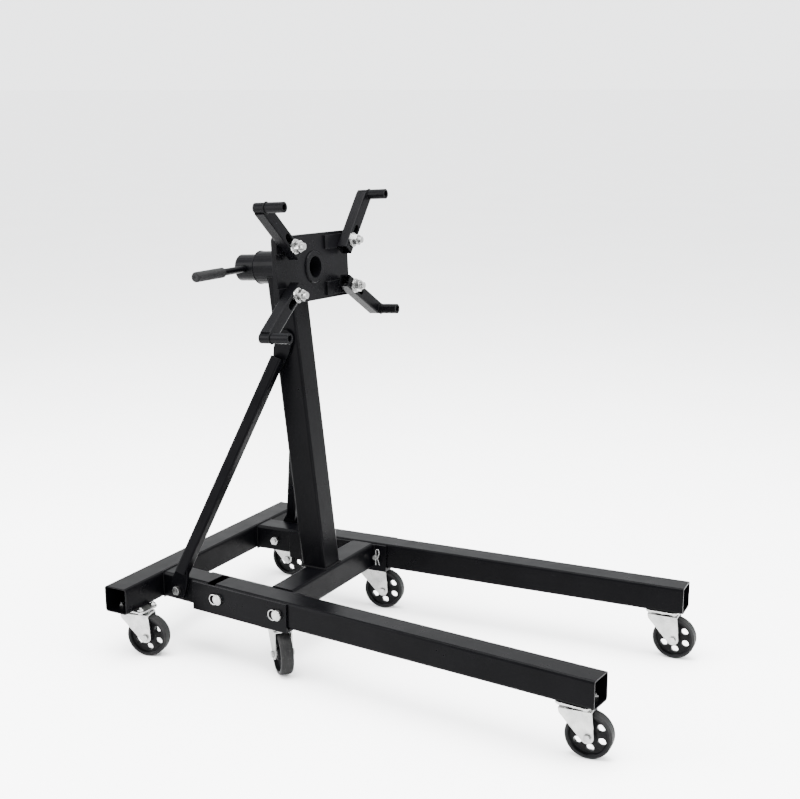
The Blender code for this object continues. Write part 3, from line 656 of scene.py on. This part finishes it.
# the column's foot on the base
COLUMN_UP = Vector((-math.sin(COLUMN_LEAN), 0, math.cos(COLUMN_LEAN)))
COLUMN_AHEAD = Vector((math.cos(COLUMN_LEAN), 0, math.sin(COLUMN_LEAN)))
foot_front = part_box("column")[1].x
foot_rear = foot_front - COLUMN / math.cos(COLUMN_LEAN)
half = COLUMN / 2
left_edge = half + BEAD_OUT
outline = [(x, y, DECK_Z + BEAD_OUT) for x, y in (
    (foot_front + BEAD_OUT, left_edge), (foot_rear - BEAD_OUT, left_edge),
    (foot_rear - BEAD_OUT, -left_edge), (foot_front + BEAD_OUT, -left_edge))]
weld("column_foot_weld", densify(outline), 0.0030)

# the saddle, where the column's top meets the sleeve
COLUMN_CORNER = 0.006        # outer corner radius of the column's tube
SADDLE_SPREAD = 1.012        # the bead runs this much outside the column's surface


def on_sleeve(start):
    """Where a line up the column from start meets the sleeve's cylinder."""
    away = (start - HEAD_AT).cross(HEAD_AXIS)
    rise = COLUMN_UP.cross(HEAD_AXIS)
    a = rise.dot(rise)
    b = 2 * rise.dot(away)
    c = away.dot(away) - SLEEVE_RADIUS ** 2
    root = max(b * b - 4 * a * c, 0.0)
    return start + COLUMN_UP * ((-b - math.sqrt(root)) / (2 * a))


foot_centre = Vector((foot_front - half / math.cos(COLUMN_LEAN), 0, DECK_Z))
section = []
for sx, sy, start in ((1, 1, 0), (-1, 1, 90), (-1, -1, 180), (1, -1, 270)):
    for a in (math.radians(start + 22.5 * i) for i in range(5)):
        section.append((sx * (half - COLUMN_CORNER) + COLUMN_CORNER * math.cos(a),
                        sy * (half - COLUMN_CORNER) + COLUMN_CORNER * math.sin(a), 0))
saddle = []
for point in densify(section, 0.0015):
    start = foot_centre + COLUMN_AHEAD * (point.x * SADDLE_SPREAD) + Vector((0, point.y * SADDLE_SPREAD, 0))
    saddle.append(on_sleeve(start))
weld("column_saddle_weld", saddle, 0.0024)

# a lip round each end of the sleeve
LIP_RADIUS = 0.0016
for label, along in (("rear", SLEEVE_REAR + LIP_RADIUS), ("front", SLEEVE_FRONT - LIP_RADIUS)):
    ring = circle_about(head_point(along), HEAD_AXIS, SLEEVE_RADIUS - 0.0004, 96)
    piece(f"sleeve_{label}_lip", sweep(ring, LIP_RADIUS, 10, True), [HEAD_PAINT], "stand",
          smooth=60.0)

# the bead where each peg tube leaves its arm's front
PEG_WELD_BACK = PEG_LENGTH - 0.0285   # from a peg's front end
for corner in CORNERS:
    peg_end = Vector(MOUNTS[corner + "_peg_face"]["pos_m"]) - LEFT * PEG_FACE_MIDDLE
    ring = circle_about(peg_end - HEAD_AXIS * PEG_WELD_BACK, HEAD_AXIS, PEG_RADIUS + 0.0004, 40)
    piece(f"{corner}_peg_weld", sweep(ring, 0.0017, 8, True, 0.15, 0.0039), [BEAD], corner + "_arm_slider",
          smooth=60.0)

# ---- pins: caps, pull rings and clips -----------------------------------------------------------
PIN_HEAD_OUT = 0.0071        # socket face to the outer face of a pin's head
PIN_END_OUT = 0.008          # socket face to the clip at the pin's other end
RING_RADIUS = 0.0120
RING_WIRE = 0.0011
CLIP_WIRE = 0.0010
CLIP_TOP = 0.016             # above and below the pin's axis
CLIP_BOTTOM = -0.022
CLIP_BEND = 0.0045
CAP_PROFILE = [(0.0, 0.0118), (0.0010, 0.0114), (0.0016, 0.0098), (0.0012, 0.0060), (0.0010, 0.0012)]


def clip_wire(pin_end, forward):
    """An R-clip's path: a straight leg through the pin, a bend over the top and a bowed leg in front."""
    leg = densify([pin_end + UP * z for z in (CLIP_TOP, 0.004, CLIP_BOTTOM)], 0.003, closed=False)
    bend = [pin_end + forward * CLIP_BEND * (1 - math.cos(a)) + UP * (CLIP_TOP + CLIP_BEND * math.sin(a))
            for a in (math.radians(200 * i / 14) for i in range(1, 15))]
    bow = [pin_end + forward * (0.0078 + 0.0022 * math.cos(2 * math.pi * t)) + UP * (0.013 - 0.034 * t)
           for t in (i / 16 for i in range(1, 17))]
    return leg[::-1] + bend + bow


for side, sign in SIDES.items():
    forward, left = rail_directions(side)
    out = left * sign
    for label, s in (("pivot", PIVOT_S), ("lock", LOCK_S)):
        name = f"{side}_{label}_pin"
        pin_head = rail_point(side, s, sign * (SOCKET_OUTER + PIN_HEAD_OUT), PIN_Z)
        hardware(name + "_cap", lathe(CAP_PROFILE, 32), "stand", along_x(pin_head - out * 0.0002, out))
        # the pull ring runs through the head and hangs back against the socket
        ring_centre = pin_head - out * 0.0032 - forward * 0.0125 - UP * 0.0020
        ring = circle(ring_centre, forward, UP, RING_RADIUS, 48)
        hardware(name + "_ring", sweep(ring, RING_WIRE, closed=True), "stand", smooth=60.0)
        pin_end = rail_point(side, s, -sign * (SOCKET_OUTER + PIN_END_OUT), PIN_Z)
        hardware(name + "_clip", sweep(clip_wire(pin_end, forward), CLIP_WIRE), "stand", smooth=60.0)

# ---- grip ---------------------------------------------------------------------------------------
GRIP_ROUND = 0.0045          # radius of the outer end's edge
GRIP_RIBS = 25
RIB_DEPTH = 0.00022
GRIP_BORE = HANDLE_RADIUS + 0.0003


def grip_profile():
    """The moulded grip's (along, radius) section: dimpled outer end, fine grooves, bore for the bar."""
    profile = [(GRIP_END + 0.0018, 0.0006), (GRIP_END + 0.0015, 0.0022), (GRIP_END + 0.0006, 0.0032),
               (GRIP_END, 0.0042)]
    for a in (math.radians(turn) for turn in range(0, 91, 10)):
        profile.append((GRIP_END + GRIP_ROUND - GRIP_ROUND * math.cos(a),
                        GRIP_RADIUS - GRIP_ROUND + GRIP_ROUND * math.sin(a)))
    grooved = GRIP_START - GRIP_END - 0.014
    for i in range(1, GRIP_RIBS + 1):
        x = GRIP_END + 0.010 + grooved * i / GRIP_RIBS
        profile += [(x - 0.0009, GRIP_RADIUS), (x - 0.0005, GRIP_RADIUS - RIB_DEPTH),
                    (x + 0.0005, GRIP_RADIUS - RIB_DEPTH), (x + 0.0009, GRIP_RADIUS)]
    return profile + [(GRIP_START - 0.0012, GRIP_RADIUS), (GRIP_START - 0.0003, GRIP_RADIUS - 0.0006),
                      (GRIP_START, GRIP_RADIUS - 0.0016), (GRIP_START, GRIP_BORE),
                      (GRIP_BORE_END, GRIP_BORE), (GRIP_BORE_END, 0.0006)]


handle_turn = math.radians(HANDLE_ROLL)
bar_direction = math.cos(handle_turn) * LEFT + math.sin(handle_turn) * HEAD_UP
grip = piece("moulded_grip", lathe(grip_profile(), 40), [RUBBER], "head",
             along_x(head_point(HANDLE_AT), bar_direction))
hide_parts("handle_grip")

# ---- floor, light and camera --------------------------------------------------------------------
FLOOR_HALF = 150.0
floor_mesh = bmesh.new()
bmesh.ops.create_grid(floor_mesh, x_segments=2, y_segments=2, size=FLOOR_HALF)
floor = in_scene("floor", mesh_data("floor", floor_mesh))
floor.location.z = -0.0005
f = Nodes("studio_floor")
floor_colour = f.ramp(f.noise(1.5, 2.0), [(0.3, (0.92, 0.92, 0.92)), (0.7, (0.94, 0.94, 0.94))])
floor.data.materials.append(f.finish(floor_colour, f.spread(f.noise(4.0), 0.3, 0.7, 0.75, 0.85)))


def area_light(name, place, target, width, height, power):
    """A rectangular light at place that faces target. Sizes are in metres and power in watts."""
    data = bpy.data.lights.new(name, "AREA")
    data.shape = "RECTANGLE"
    data.size = width
    data.size_y = height
    data.energy = power
    light = in_scene(name, data)
    light.location = place
    toward = Vector(target) - Vector(place)
    light.rotation_euler = toward.to_track_quat("-Z", "Y").to_euler()


area_light("top_softbox", (0.2, -0.2, 3.6), (0.0, 0.0, 0.2), 3.4, 3.4, 800)
area_light("left_softbox", (-2.9, -2.2, 1.7), (0.0, 0.0, 0.5), 2.2, 2.6, 330)
area_light("right_softbox", (2.9, 0.9, 1.9), (0.0, 0.0, 0.5), 1.6, 2.4, 140)

WORLD_COLOUR = (0.95, 0.96, 0.97, 1.0)
WORLD_STRENGTH = 3.4
world = bpy.data.worlds.new("studio")
world.use_nodes = True
background = world.node_tree.nodes["Background"]
background.inputs["Color"].default_value = WORLD_COLOUR
background.inputs["Strength"].default_value = WORLD_STRENGTH
bpy.context.scene.world = world

# the camera matched to the photo's perspective: place in metres, turns in degrees
CAMERA_AT = (1.4391, -2.6303, 1.3373)
CAMERA_PAN = 29.03
CAMERA_DOWN = 13.40
CAMERA_ROLL = -0.31
camera_data = bpy.data.cameras.new("camera")
camera_data.lens = 60.52
camera_data.sensor_width = 36.0
camera = in_scene("camera", camera_data)
camera.matrix_world = (Matrix.Translation(CAMERA_AT)
                       @ Matrix.Rotation(math.radians(CAMERA_PAN), 4, "Z")
                       @ Matrix.Rotation(math.radians(90 - CAMERA_DOWN), 4, "X")
                       @ Matrix.Rotation(math.radians(CAMERA_ROLL), 4, "Z"))
bpy.context.scene.camera = camera
